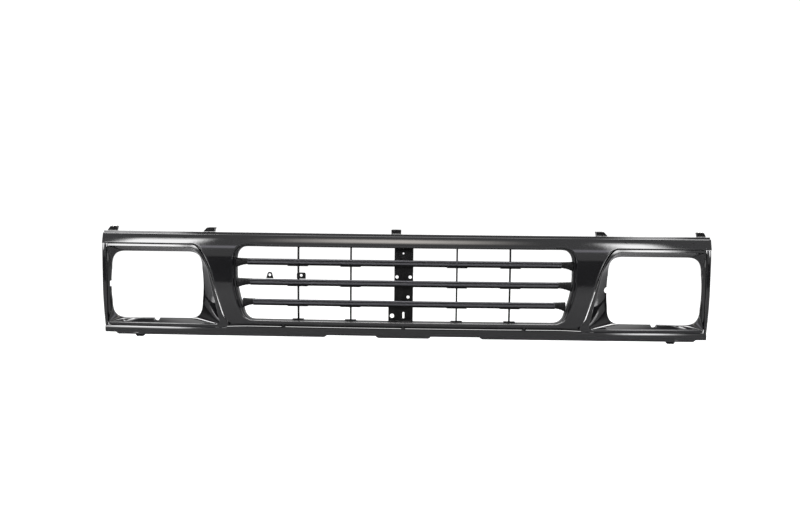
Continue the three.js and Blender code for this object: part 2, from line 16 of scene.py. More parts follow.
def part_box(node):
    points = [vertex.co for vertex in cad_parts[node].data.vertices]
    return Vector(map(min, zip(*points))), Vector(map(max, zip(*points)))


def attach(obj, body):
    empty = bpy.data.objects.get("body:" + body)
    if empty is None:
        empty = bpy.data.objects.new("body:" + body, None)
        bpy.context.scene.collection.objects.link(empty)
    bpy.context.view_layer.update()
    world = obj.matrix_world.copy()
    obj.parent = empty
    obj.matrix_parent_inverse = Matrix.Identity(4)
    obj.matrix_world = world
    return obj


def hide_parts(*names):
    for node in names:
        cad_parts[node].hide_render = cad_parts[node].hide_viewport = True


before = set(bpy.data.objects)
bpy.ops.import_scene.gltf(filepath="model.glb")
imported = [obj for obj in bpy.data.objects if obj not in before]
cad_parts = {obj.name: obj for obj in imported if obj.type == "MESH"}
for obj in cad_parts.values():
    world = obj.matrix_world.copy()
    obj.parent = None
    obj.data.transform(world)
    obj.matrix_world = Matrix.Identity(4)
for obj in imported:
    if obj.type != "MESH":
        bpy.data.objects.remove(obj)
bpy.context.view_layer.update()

# ---- Driving dimensions, in millimetres ----

MM = 0.001
HALF_WIDTH = 630
TOP = 209
GAP = 0.3
WALL = 2.6
SWEEP = 25                    # how far the ends stand behind the centre
LIP_HEIGHT = 4                # upright lip along the top of the rail
LIP_BACK = 2.5
RAIL_EDGE = 183               # lower edge of the rail over the headlamps
LOWER_RAIL_EDGE = 20
CROWN_START = 160             # above this height the face rolls back
CROWN_RADIUS = 95
TUCK_START = 110              # below this height the face tucks under
TUCK_RADIUS = 900
WINDOW = {"top": 181, "bottom": 27.5, "side": 347.5, "corner_top": 28, "corner_bottom": 24, "taper": 15}
COLLAR_DEPTH = 32
RIM_DEPTH = 8
LAMP = {"inner": 421.3, "outer": 617.3, "top": 166.5, "bottom": 26, "corner": 32, "plane": 45}
MOUTH = {"inner": 384, "outer": 620.4, "top": 176.5, "bottom": 17.5, "back": 6}
FLANGE = {"inner": 398, "outer": 619, "top": 199, "bottom": 1}
SLAT = {"centres": (149.5, 107.6, 65.6), "ends": (322.5, 317, 311), "height": 14, "front": 8, "depth": 20}
RIB = {"pitch": 110, "thick": 3.2, "depth": 10, "front": 28.6}
VALANCE = {"top": 13, "waist": 5, "base": -1.2, "flange": -5.2, "depth": 36, "half": 627, "dip": 2.6}
POST = {"inner": 620.8, "outer": 629.5, "depth": 16, "taper": 3}
TAB_TOP = 217.5

BODY = "root"
SIDES = (("left", -1), ("right", 1))
LEVELS = ("upper", "middle", "lower")

# This script's origin in the frame, found from the middle slat's nose and the rail's top edge.
ORIGIN = Vector((0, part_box("slat_middle")[0].y - SLAT["front"] * MM,
                 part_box("surround")[1].z - TOP * MM))


def to_frame(points):
    return np.asarray(points, float) * MM + np.array(ORIGIN)


def box_of(node):
    """Lowest and highest corner of a CAD node, in this script's millimetres."""
    low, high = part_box(node)
    return (np.array(low) - ORIGIN) / MM, (np.array(high) - ORIGIN) / MM


def values(table, names):
    return [table[name] for name in names.split()]


def columns(x, y, z):
    """Points from their coordinates, each an array or one number."""
    return np.column_stack(np.broadcast_arrays(x, y, z))


# ---- Form of the front ----

def sweep_at(x):
    return SWEEP * (np.asarray(x, float) / HALF_WIDTH) ** 2


def profile_at(z):
    crown = np.maximum(0, np.asarray(z, float) - CROWN_START)
    tuck = np.maximum(0, TUCK_START - np.asarray(z, float))
    return crown ** 2 / (2 * CROWN_RADIUS) + tuck ** 2 / (2 * TUCK_RADIUS)


def face_at(x, z):
    return sweep_at(x) + profile_at(z)


def face_normal(x, z):
    """Unit normals of the face, pointing out of the vehicle."""
    across = 2 * SWEEP * x / HALF_WIDTH ** 2
    up = np.maximum(0, z - CROWN_START) / CROWN_RADIUS - np.maximum(0, TUCK_START - z) / TUCK_RADIUS
    normal = columns(across, -1.0, up)
    return normal / np.linalg.norm(normal, axis=1)[:, None]


def smooth_step(value, low, high):
    share = np.clip((value - low) / (high - low), 0, 1)
    return share ** 2 * (3 - 2 * share)


def dip_at(x):
    """The valance hangs a little lower below the headlamps than below the slats."""
    return VALANCE["dip"] * smooth_step(np.abs(x), 320, 400)


# ---- Outlines ----

def stroke(controls, count):
    """Points along a Bezier curve through its controls, without its first point."""
    controls = np.array(controls, float)
    t = np.linspace(0, 1, count + 1)[1:, None]
    degree = len(controls) - 1
    return sum(math.comb(degree, k) * t ** k * (1 - t) ** (degree - k) * control
               for k, control in enumerate(controls))


def draw(start, strokes, spacing=4.0, counts=None):
    """A closed outline from its start along strokes, each the controls that follow the point before it."""
    points = [np.array([start], float)]
    for index, controls in enumerate(strokes):
        pen = [points[-1][-1], *controls]
        length = np.linalg.norm(np.diff(np.array(pen, float), axis=0), axis=1).sum()
        step = spacing if len(pen) > 2 else 2 * spacing
        count = counts[index] if counts else max(1, round(length / step))
        points.append(stroke(pen, count))
    return np.vstack(points)[:-1]


def rounded(corners, steps=4):
    """A closed outline whose corners, each (u, v, radius), are rounded by arcs."""
    points = []
    for index, (u, v, radius) in enumerate(corners):
        corner = np.array([u, v], float)
        back = np.array(corners[index - 1][:2], float) - corner
        ahead = np.array(corners[(index + 1) % len(corners)][:2], float) - corner
        room = 0.49 * min(np.linalg.norm(back), np.linalg.norm(ahead))
        back /= np.linalg.norm(back)
        ahead /= np.linalg.norm(ahead)
        half = math.acos(np.clip(back @ ahead, -1, 1)) / 2
        reach = min(radius / math.tan(half), room) if radius and half < 1.56 else 0
        if not reach:
            points.append(corner)
            continue
        middle = corner + (back + ahead) / np.linalg.norm(back + ahead) * reach / math.cos(half)
        first, last = corner + back * reach - middle, corner + ahead * reach - middle
        turn = math.pi - 2 * half
        for t in np.linspace(0, 1, steps + 1):
            arm = math.sin((1 - t) * turn) * first + math.sin(t * turn) * last
            points.append(middle + arm / math.sin(turn))
    return np.array(points)


def rectangle(u, v, *radii, steps=4):
    """A rectangle across two ranges; its corners have one radius, or four from the lowest corner on."""
    corners = [(u[0], v[0]), (u[1], v[0]), (u[1], v[1]), (u[0], v[1])]
    radii = radii if len(radii) > 1 else radii * 4
    return rounded([(*corner, radius) for corner, radius in zip(corners, radii)], steps)


def circle(u, v, radius, steps=28):
    angles = np.linspace(0, 2 * math.pi, steps, endpoint=False)
    return np.column_stack([u + radius * np.cos(angles), v + radius * np.sin(angles)])


def turned_left(loop):
    """The loop run the other way if needed, so that it is anticlockwise in X and Z."""
    x, z = loop[:, 0], loop[:, 1]
    area = (x * np.roll(z, -1) - np.roll(x, -1) * z).sum()
    return loop if area > 0 else loop[::-1]


def inward(loop):
    """Vectors to the left of a loop that move its points by one unit and keep its mitres."""
    def left(edge):
        edge = edge / np.linalg.norm(edge, axis=1)[:, None]
        return np.column_stack([-edge[:, 1], edge[:, 0]])
    total = left(loop - np.roll(loop, 1, axis=0)) + left(np.roll(loop, -1, axis=0) - loop)
    return 2 * total / np.maximum((total ** 2).sum(1), 0.6)[:, None]


def inside(points, loops):
    """Which points lie inside loops, by the even-odd rule."""
    found = np.zeros(len(points), bool)
    for loop in loops:
        ahead = np.roll(loop, -1, axis=0)
        for (x0, z0), (x1, z1) in zip(loop, ahead):
            if z0 != z1:
                crosses = (z0 > points[:, 1]) != (z1 > points[:, 1])
                found ^= crosses & (points[:, 0] < (x1 - x0) * (points[:, 1] - z0) / (z1 - z0) + x0)
    return found


def window_outline():
    top, low, wide, r_top, r_low = values(WINDOW, "top bottom side corner_top corner_bottom")
    narrow = wide - WINDOW["taper"]
    bend_low, bend_high = TUCK_START - 20, TUCK_START + 15
    return draw((-narrow + r_low, low), [
        [(narrow - r_low, low)],
        [(narrow - 2, low), (narrow + 1, low + r_low)],
        [(wide, bend_low), (wide, bend_high)],
        [(wide, top - r_top)],
        [(wide, top), (wide - r_top, top)],
        [(-wide + r_top, top)],
        [(-wide, top), (-wide, top - r_top)],
        [(-wide, bend_high)],
        [(-wide, bend_low), (-narrow - 1, low + r_low)],
        [(-narrow + 2, low), (-narrow + r_low, low)],
    ], spacing=3)


def surround_outline():
    """Top rail, two pillars and lower rail, up to the foot of the rail's lip."""
    edge, low, high = RAIL_EDGE, LOWER_RAIL_EDGE, TOP - LIP_HEIGHT
    right = draw((0, high), [
        [(HALF_WIDTH, high)],
        [(HALF_WIDTH, edge)],
        [(436, edge)],
        [(423, edge - 2), (415, edge - 18)],
        [(398, 135), (395, 108), (388, 84)],
        [(373, low + 18)],
        [(367, low), (350, low)],
        [(0, low)],
        [(0, high)],
    ], spacing=3)
    right = right[:np.argmax((right[:, 0] <= 0) & (right[:, 1] < high)) + 1]
    left = right[1:-1][::-1] * (-1, 1)
    return turned_left(np.vstack([right, left]))


# ---- Meshes ----

CREASE = 32                   # degrees above which an edge is sharp
CRISP = 13                    # the same, where the flats beside a small corner radius stay flat


def add_object(name, data):
    made = bpy.data.objects.new(name, data)
    bpy.context.scene.collection.objects.link(made)
    return made


def shade(work, sharp):
    """Smooth shading for a mesh, with creases above `sharp` degrees."""
    for polygon in work.faces:
        polygon.smooth = True
    for edge in work.edges:
        edge.smooth = len(edge.link_faces) != 2 or edge.calc_face_angle(0) < math.radians(sharp)


def make_object(name, points, faces, normals=None, sharp=CREASE, tidy=True):
    """A smooth-shaded object from points in millimetres, with creases above `sharp` degrees."""
    mesh = bpy.data.meshes.new(name)
    mesh.from_pydata([tuple(p) for p in to_frame(points)], [], [tuple(int(i) for i in f) for f in faces])
    work = bmesh.new()
    work.from_mesh(mesh)
    if tidy:
        bmesh.ops.recalc_face_normals(work, faces=work.faces)
    shade(work, sharp)
    work.to_mesh(mesh)
    work.free()
    if normals is not None:
        mesh.normals_split_custom_set_from_vertices([tuple(n) for n in normals])
    return add_object(name, mesh)


def loft_faces(rings, start=0, closed=False):
    """Quads between successive rings of equal length, stored one after another from index `start`."""
    count = len(rings[0])
    index = np.arange(count)
    ahead = (index + 1) % count
    faces = []
    pairs = [(k, k + 1) for k in range(len(rings) - 1)] + ([(len(rings) - 1, 0)] if closed else [])
    for a, b in pairs:
        a0, b0 = start + a * count, start + b * count
        faces += [(a0 + j, a0 + i, b0 + i, b0 + j) for i, j in zip(index, ahead)]
    return faces


def swept(name, section, stations, place, sharp=CREASE):
    """A closed section of (u, v) points carried through stations by place(section, station)."""
    rings = [place(section, station) for station in stations]
    faces = loft_faces(rings)
    count = len(section)
    last = (len(rings) - 1) * count
    faces += [tuple(range(count)), tuple(reversed(range(last, last + count)))]
    return make_object(name, np.vstack(rings), faces, sharp=sharp)


def along_x(section, x, rise=0.0):
    """A section of (y, z) points at x, carried back by the plan sweep."""
    return columns(x, section[:, 0] + sweep_at(x), section[:, 1] + rise)


def flat_across(section, x):
    """A section of (y, z) points at x, with no sweep."""
    return columns(x, section[:, 0], section[:, 1])


def stations_between(x0, x1, step=14):
    return np.linspace(x0, x1, max(2, round(abs(x1 - x0) / step) + 1))


def fill(loops, spare, keep):
    """Triangles of the region inside loops of (index, point) rings, using spare inner points."""
    points = [Vector(p) for _, ring in loops for p in ring] + [Vector(p) for _, p in spare]
    index = [i for first, ring in loops for i in range(first, first + len(ring))] + [i for i, _ in spare]
    edges, at = [], 0
    for _, ring in loops:
        edges += [(at + i, at + (i + 1) % len(ring)) for i in range(len(ring))]
        at += len(ring)
    made, _, triangles, source, _, _ = delaunay_2d_cdt(points, edges, [], 0, 1e-6)
    given = np.array([p[:] for p in points])
    origin = [found[0] if found else int(((given - point[:]) ** 2).sum(1).argmin())
              for point, found in zip(made, source)]
    corners = np.array([[made[i][:] for i in t] for t in triangles])
    wanted = inside(corners.mean(1), [np.array(ring) for _, ring in loops])
    turn = np.cross(corners[:, 1] - corners[:, 0], corners[:, 2] - corners[:, 0]) * (1 if keep else -1)
    faces = []
    for triangle, want, sense in zip(triangles, wanted, turn):
        if want:
            ids = [index[origin[i]] for i in triangle]
            if len(set(ids)) == 3:
                faces.append(ids if sense > 0 else ids[::-1])
    return faces


ROLL = np.radians(np.linspace(90, 0, 8))    # turns of a rolled edge, from the face to its side


def grid_points(outline, grid):
    """Points of a grid across an outline's box."""
    low, high = outline.min(0), outline.max(0)
    xs, zs = (np.arange(low[k] + grid[k] / 2, high[k], grid[k]) for k in (0, 1))
    return np.array([(x, z) for x in xs for z in zs]).reshape(-1, 2)


def clear_of(rings, points, margin):
    """The points inside rings that stand off them by more than a margin."""
    found = points[inside(points, rings)]
    if not len(found):
        return found
    outline = np.vstack(rings)
    gaps = np.sqrt(((found[:, None, :] - outline[None, :, :]) ** 2).sum(2)).min(1)
    return found[gaps > margin]


def relief(name, outer, holes, depth, roll, flanks, wall, grid, surface_normal=None, setback=None):
    """A moulded sheet seen from the front: its face is depth(x, z) and its edges roll back by roll(x, z).

    Each outline, outer first, has a flank: rows that lead from the roll to the rear. A row is the offset into
    the sheet, the distance behind the face, and the share of the edge's setback that is kept. A flank that
    ends off the outline is a turned-back rim.
    """
    loops = [turned_left(outer)] + [turned_left(hole)[::-1] for hole in holes]
    points, normals, faces, front_rings, back_rings = [], [], [], [], []
    total = 0

    def add(block, block_normals=None):
        nonlocal total
        points.append(block)
        normals.append(np.zeros((len(block), 3)) if block_normals is None else block_normals)
        total += len(block)
        return total - len(block)

    for loop, flank in zip(loops, flanks):
        side = inward(loop)
        unit = side / np.linalg.norm(side, axis=1)[:, None]
        kept = side * (0 if setback is None else setback(loop[:, 0], loop[:, 1])[:, None])
        radius = roll(loop[:, 0], loop[:, 1])
        first = total
        for angle in ROLL:
            flat = loop + kept + side * (radius * (1 - math.cos(angle)))[:, None]
            y = depth(flat[:, 0], flat[:, 1]) + radius * (1 - math.sin(angle))
            out = None
            if surface_normal is not None:
                outward = columns(-unit[:, 0], 0, -unit[:, 1]) * math.cos(angle)
                out = outward + surface_normal(*flat.T) * math.sin(angle)
            start = add(columns(flat[:, 0], y, flat[:, 1]), out)
            if start == first:
                front_rings.append((start, flat))
        for offset, distance, share in flank:
            inner = loop + kept * share + side * offset
            back = add(columns(inner[:, 0], depth(*inner.T) + distance, inner[:, 1]))
        back_rings.append((back, inner))
        faces += loft_faces([loop] * (len(ROLL) + len(flank)), first)

    spare = grid_points(outer, grid)
    for rings, back in ((front_rings, False), (back_rings, True)):
        found = clear_of([ring for _, ring in rings], spare, 0.4 * min(grid))
        y = depth(*found.T) + (wall if back else 0)
        known = surface_normal is not None and not back and len(found)
        start = add(columns(found[:, 0], y, found[:, 1]), surface_normal(*found.T) if known else None)
        faces += fill(rings, list(zip(range(start, start + len(found)), found)), not back)
    custom = np.vstack(normals) if surface_normal is not None else None
    corners = np.vstack(points)
    piece = make_object(name, corners, faces, normals=custom, tidy=surface_normal is None)
    behind = piece.data.attributes.new("behind", "FLOAT", "POINT")
    behind.data.foreach_set("value", corners[:, 1] - depth(corners[:, 0], corners[:, 2]))
    return piece


def constant(value):
    return lambda x, z: np.full(np.shape(x), float(value))


def plate(name, outer, y, thick, holes=(), edge=0.6, follow=None, grid=(8, 8)):
    """A flat or gently bent sheet with rounded front edges, from depth y back by its thickness."""
    base = follow if follow is not None else (lambda x, z: np.zeros(np.shape(x)))
    flanks = [[(0, thick, 1)]] * (1 + len(holes))
    return relief(name, outer, list(holes), lambda x, z: y + base(x, z), constant(edge), flanks, thick, grid)


def block(name, x, y, z, edge=0.5):
    """A bar with rounded long edges, given its ranges along each axis."""
    section = rectangle(x, z, edge, steps=3)
    return plate(name, section, y[0], y[1] - y[0], edge=0.7 * min(edge, 0.6 * (y[1] - y[0])), grid=(50, 50))


def lathe(name, profile, centre, axis="y", steps=24):
    """A turned piece; its profile is (radius, distance) pairs along the axis from the centre."""
    angles = np.linspace(0, 2 * math.pi, steps, endpoint=False)
    rings = []
    for radius, along in profile:
        u, v = max(radius, 0.02) * np.cos(angles), max(radius, 0.02) * np.sin(angles)
        ring = columns(u, along, v) if axis == "y" else columns(u, v, along)
        rings.append(ring + np.array(centre, float))
    faces = loft_faces(rings)
    last = (len(rings) - 1) * steps
    faces += [tuple(range(steps)), tuple(reversed(range(last, last + steps)))]
    return make_object(name, np.vstack(rings), faces)


def join(pieces):
    """Merges pieces into the first one."""
    bpy.ops.object.select_all(action="DESELECT")
    for piece in pieces:
        piece.select_set(True)
    bpy.context.view_layer.objects.active = pieces[0]
    bpy.ops.object.join()
    return pieces[0]


def carve(piece, cutters):
    """Cuts other pieces out of one and removes them."""
    for cutter in cutters:
        modifier = piece.modifiers.new("cut", "BOOLEAN")
        modifier.object = cutter
        modifier.solver = "MANIFOLD"
        bpy.context.view_layer.objects.active = piece
        bpy.ops.object.modifier_apply(modifier=modifier.name)
        bpy.data.objects.remove(cutter)
    work = bmesh.new()
    work.from_mesh(piece.data)
    shade(work, CREASE)
    work.to_mesh(piece.data)
    work.free()
    return piece


def settle(piece, slot, *nodes):
    """Gives a piece its finish, its body and the CAD nodes that it stands for."""
    piece.data.materials.clear()
    piece.data.materials.append(FINISHES[slot])
    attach(piece, BODY)
    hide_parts(*nodes)
    return piece


# ---- Finishes ----

def new_material(name, base, roughness, metallic=0.0):
    material = bpy.data.materials.new(name)
    material.use_nodes = True
    shader = material.node_tree.nodes["Principled BSDF"]
    shader.inputs["Base Color"].default_value = (*base, 1)
    shader.inputs["Roughness"].default_value = roughness
    shader.inputs["Metallic"].default_value = metallic
    return material, material.node_tree, shader


def add_node(tree, kind, **sockets):
    """A node of a tree, its inputs set to values or linked to other nodes' outputs."""
    node = tree.nodes.new(kind)
    for name, value in sockets.items():
        if isinstance(value, bpy.types.NodeSocket):
            tree.links.new(value, node.inputs[name])
        else:
            node.inputs[name].default_value = value
    return node


def noise(tree, scale, detail, stretch=(1, 1, 1)):
    """A noise texture in object space; its Fac output."""
    place = add_node(tree, "ShaderNodeTexCoord").outputs["Object"]
    mapping = add_node(tree, "ShaderNodeMapping", Vector=place, Scale=stretch)
    texture = add_node(tree, "ShaderNodeTexNoise", Vector=mapping.outputs["Vector"], Scale=scale,
                       Detail=detail, Roughness=0.55)
    return texture.outputs["Fac"]


def spread(tree, value, low, high, to_low, to_high):
    """A value mapped smoothly from one range to another."""
    limits = {"From Min": low, "From Max": high, "To Min": to_low, "To Max": to_high}
    node = add_node(tree, "ShaderNodeMapRange", Value=value, **limits)
    node.interpolation_type = "SMOOTHSTEP"
    return node.outputs["Result"]


def arithmetic(tree, operation, first, second):
    """A Math node's output; its second value is an output or a number."""
    node = tree.nodes.new("ShaderNodeMath")
    node.operation = operation
    tree.links.new(first, node.inputs[0])
    if isinstance(second, (int, float)):
        node.inputs[1].default_value = second
    else:
        tree.links.new(second, node.inputs[1])
    return node.outputs[0]


def generated(tree):
    """Places across a piece's own box, from 0 to 1; for the world, directions."""
    place = add_node(tree, "ShaderNodeTexCoord").outputs["Generated"]
    return add_node(tree, "ShaderNodeSeparateXYZ", Vector=place).outputs


def add_bump(tree, shader, layers):
    """Stacks bumps on a shader; each layer is (height output, strength, distance in metres)."""
    before = None
    for height, strength, distance in layers:
        bump = add_node(tree, "ShaderNodeBump", Strength=strength, Distance=distance, Height=height)
        if before is not None:
            tree.links.new(before, bump.inputs["Normal"])
        before = bump.outputs["Normal"]
    tree.links.new(before, shader.inputs["Normal"])


def blend_colour(tree, shader, mask, first, second):
    """Sets a shader's colour between two by a mask; None stands for the colour that it has so far."""
    mix = tree.nodes.new("ShaderNodeMix")
    mix.data_type = "RGBA"
    if first is None:
        tree.links.new(shader.inputs["Base Color"].links[0].from_socket, mix.inputs[6])
    else:
        mix.inputs[6].default_value = (*first, 1)
    mix.inputs[7].default_value = (*second, 1)
    tree.links.new(mask, mix.inputs["Factor"])
    tree.links.new(mix.outputs[2], shader.inputs["Base Color"])


def gloss_black():
    """Deep gloss paint in front, bare grained plastic on the walls that stand well behind the face."""
    material, tree, shader = new_material("gloss_black", (0.004, 0.004, 0.0045), 0.05)
    shader.inputs["IOR"].default_value = 1.52
    depth = tree.nodes.new("ShaderNodeAttribute")
    depth.attribute_name = "behind"
    dulled = spread(tree, depth.outputs["Fac"], 7.7, 8.4, 0, 1)
    haze = spread(tree, noise(tree, 9, 4), 0.35, 0.75, 0.045, 0.085)
    rough = arithmetic(tree, "ADD", haze, arithmetic(tree, "MULTIPLY", dulled, 0.42))
    tree.links.new(rough, shader.inputs["Roughness"])
    tree.links.new(spread(tree, dulled, 0, 1, 0.5, 0.07), shader.inputs["Specular IOR Level"])
    dust = spread(tree, noise(tree, 420, 2), 0.7, 0.86, 0, 0.5)
    blend_colour(tree, shader, dust, (0.0036, 0.0036, 0.0042), (0.011, 0.011, 0.012))
    add_bump(tree, shader, [(noise(tree, 150, 2), 0.025, 0.0006)])
    return material


def satin_graphite():
    """Metallic paint with a fine flake; painted shade darkens the blades' groove and lower lip, which are also
    made duller.
    """
    material, tree, shader = new_material("satin_graphite", (0.03, 0.03, 0.034), 0.24, 0.2)
    flake = spread(tree, noise(tree, 2600, 1), 0.42, 0.7, 0, 1)
    blend_colour(tree, shader, flake, (0.031, 0.031, 0.035), (0.052, 0.052, 0.059))
    # Painted shade: by height across each blade, the groove and the lower lip get a near-black colour that
    # stands for shade; they are also made rougher and less shiny.
    height = generated(tree)["Z"]
    lip = spread(tree, height, 0.26, 0.33, 1, 0)
    off_groove = arithmetic(tree, "ABSOLUTE", arithmetic(tree, "SUBTRACT", height, 0.68), 0)
    groove = spread(tree, off_groove, 0.06, 0.1, 0.85, 0)
    dulled = arithmetic(tree, "ADD", lip, groove)
    # The near-black colour blended in here is painted shade in the groove and on the lower lip.
    blend_colour(tree, shader, dulled, None, (0.003, 0.003, 0.0032))
    tree.links.new(spread(tree, dulled, 0, 1, 0.24, 0.5), shader.inputs["Roughness"])
    tree.links.new(spread(tree, dulled, 0, 1, 0.5, 0.08), shader.inputs["Specular IOR Level"])
    tree.links.new(spread(tree, dulled, 0, 1, 0.2, 0), shader.inputs["Metallic"])
    add_bump(tree, shader, [(noise(tree, 2600, 1), 0.02, 0.0001)])
    return material


def raw_black():
    material, tree, shader = new_material("raw_black", (0.005, 0.005, 0.0055), 0.45)
    shader.inputs["Specular IOR Level"].default_value = 0.12
    grey = spread(tree, noise(tree, 60, 4), 0.4, 0.75, 0, 1)
    blend_colour(tree, shader, grey, (0.003, 0.003, 0.0032), (0.008, 0.008, 0.0085))
    tree.links.new(spread(tree, noise(tree, 45, 3), 0.3, 0.7, 0.34, 0.55), shader.inputs["Roughness"])
    add_bump(tree, shader, [(noise(tree, 1300, 2), 0.25, 0.0003), (noise(tree, 90, 3), 0.12, 0.0006)])
    return material


def zinc():
    material, tree, shader = new_material("zinc", (0.6, 0.6, 0.57), 0.3, 1.0)
    tarnish = spread(tree, noise(tree, 240, 4), 0.45, 0.8, 0, 1)
    blend_colour(tree, shader, tarnish, (0.62, 0.62, 0.6), (0.4, 0.37, 0.3))
    tree.links.new(spread(tree, noise(tree, 700, 3), 0.3, 0.7, 0.22, 0.42), shader.inputs["Roughness"])
    add_bump(tree, shader, [(noise(tree, 900, 2, stretch=(8, 1, 1)), 0.15, 0.0002)])
    return material


FINISHES = {make.__name__: make() for make in (gloss_black, satin_graphite, raw_black, zinc)}

# ---- Surround ----

VALANCE_SCREWS = (-250, 0, 250)
SCREEN = {"half": 372, "back": 22, "bottom": 13.6}    # closes the view between the lower rail and the valance
LAMP_SCREW_X = (452, 592)
LAMP_SCREW_Z = {"top": 192, "bottom": 6}
LEDGE = 3.6                   # how far the window's front edge stands outside its collar at the sides


def edge_roll(x, z):
    """Edge radius of the surround: crisp along the top, soft round the lamps, the window and the ends."""
    radius = np.full(np.shape(x), 4.2)
    radius[z > TOP - LIP_HEIGHT - 0.5] = 1.3
    radius[z < WINDOW["bottom"] + 4] = 2.4
    radius[(np.abs(x) > 428) & (z < TOP - 20)] = 3.3
    radius[np.abs(x) > HALF_WIDTH - 4] = 1.2
    return radius


def window_ledge(x, z):
    """Setback of the window's front edge, along its sides and top corners."""
    across = np.abs(x)
    beside = smooth_step(across, 285, 325) * smooth_step(z, WINDOW["bottom"] + 4, WINDOW["bottom"] + 40)
    return LEDGE * beside * (across < WINDOW["side"] + 1) * (z < WINDOW["top"] + 1)


def turned_back(distance):
    """The end of a flank: round the rim's rear edge and forward again to the sheet's back."""
    return [(0, distance, 0), (WALL, distance, 0), (WALL, 10.5, 0), (WALL, 10.3, 1), (WALL, WALL, 1)]


# A short rim all round, and a deep collar round the window with a groove and a ledge behind its rounded edge.
SURROUND_FLANKS = [
    [(0, RIM_DEPTH, 0), (WALL, RIM_DEPTH, 0), (WALL, WALL, 0)],
    [(0, 5.2, 1), (1.2, 5.5, 1), (1.2, 6.8, 1), (0.4, 6.9, 1), (0.4, 7.2, 0), (0, 7.6, 0),
     *turned_back(COLLAR_DEPTH)],
]


def lamp_bosses(z, clear, radii):
    """Bosses for the lamp bezels' screws, from a little behind the face up to the bezels' flange."""
    bosses = []
    for x in [side * x for _, side in SIDES for x in LAMP_SCREW_X]:
        start, end = face_at(x, z) + clear, LAMP["plane"] - GAP
        profile = zip((0, *radii, 0), (start, start, end - 0.5, end, end))
        bosses.append(lathe("boss", profile, (x, 0, z)))
    return bosses


def make_surround():
    skin = relief("surround", surround_outline(), [window_outline()], face_at, edge_roll, SURROUND_FLANKS,
                  WALL, (8, 3.5), face_normal, window_ledge)
    step = TOP - LIP_HEIGHT
    lip, foot = profile_at(TOP) + LIP_BACK, profile_at(step) + 1.6
    shelf = rounded([
        (foot, step - 1.2, 0), (lip, step - 0.4, 1.0), (lip, TOP, 0.35), (lip + 26, TOP, 0.6),
        (lip + 26, TOP - WALL, 0.6), (lip + WALL, TOP - WALL, 0.8), (lip + WALL, step - WALL, 0.4),
        (foot, step - WALL, 0),
    ])
    parts = [skin, swept("shelf", shelf, stations_between(-HALF_WIDTH + 1, HALF_WIDTH - 1), along_x, CRISP)]
    screen = rectangle((SCREEN["back"], SCREEN["back"] + WALL), (SCREEN["bottom"], WINDOW["bottom"] - 1),
                       0.5, 0.5, 0, 0)
    parts.append(swept("screen", screen, stations_between(-SCREEN["half"], SCREEN["half"]),
                       lambda points, x: along_x(points, x, -dip_at(x))))
    parts += lamp_bosses(LAMP_SCREW_Z["top"], 1.5, (5.4, 4.8, 4.4))
    for x in VALANCE_SCREWS:
        start, end = VALANCE["top"] + GAP, WINDOW["bottom"] - 1
        profile = [(0, start), (4.4, start), (4.8, start + 0.5), (5.2, end), (0, end)]
        parts.append(lathe("boss", profile, (x, sweep_at(x) + 24, 0), "z"))
    return join(parts)


settle(make_surround(), "gloss_black", "surround")

# ---- Headlamp bezels ----

CORNER_STEPS, SIDE_STEPS = 14, 18


def lamp_loop(start, strokes):
    return draw(start, strokes, counts=[SIDE_STEPS, CORNER_STEPS] * 4)


def opening_loop():
    inner, outer, low, high, r = values(LAMP, "inner outer bottom top corner")
    middle, bow = (low + high) / 2, 2
    return lamp_loop((inner + r, low), [
        [(outer - r, low)],
        [(outer - 10, low), (outer - bow, low + 10), (outer - bow, low + r + 4)],
        [(outer + bow, middle), (outer - bow, high - r - 4)],
        [(outer - bow, high - 10), (outer - 10, high), (outer - r, high)],
        [(inner + r, high)],
        [(inner + 10, high), (inner + bow, high - 10), (inner + bow, high - r - 4)],
        [(inner - bow, middle), (inner + bow, low + r + 4)],
        [(inner + bow, low + 10), (inner + 10, low), (inner + r, low)],
    ])


def mouth_loop():
    """Edge of the funnel's mouth, which follows the pillar on its inner side."""
    inner, outer, low, high = values(MOUTH, "inner outer bottom top")
    return lamp_loop((inner + 10, low), [
        [(outer - 5, low)],
        [(outer, low), (outer, low + 5)],
        [(outer, high - 5)],
        [(outer, high), (outer - 5, high)],
        [(446, high)],
        [(432, high), (421, 163), (406, 132)],
        [(398, 96), (inner, low + 12)],
        [(inner - 3, low + 3), (inner + 1, low), (inner + 10, low)],
    ])


def strip_loop():
    """Outer edge of the strip round the mouth, just clear of the pieces round it."""
    outer, low, high = MOUTH["outer"] + 0.2, VALANCE["top"] - VALANCE["dip"] + 0.5, RAIL_EDGE - GAP
    return lamp_loop((372, low), [
        [(outer - 1, low)],
        [(outer, low), (outer, low + 1)],
        [(outer, high - 1)],
        [(outer, high), (outer - 1, high)],
        [(440, high)],
        [(426, high), (414, 160), (404, 132)],
        [(396, 105), (377, LOWER_RAIL_EDGE + 22)],
        [(371, LOWER_RAIL_EDGE + 4), (352, LOWER_RAIL_EDGE - 3), (372, low)],
    ])


def flange_loop():
    """Edge of the flange that lies flat behind the lamp opening."""
    inner, outer, low, high = values(FLANGE, "inner outer bottom top")
    r = 3
    return lamp_loop((inner + r, low), [
        [(outer - r, low)],
        [(outer, low), (outer, low + r)],
        [(outer, high - r)],
        [(outer, high), (outer - r, high)],
        [(inner + r, high)],
        [(inner, high), (inner, high - r)],
        [(inner, low + r)],
        [(inner, low), (inner + r, low)],
    ])


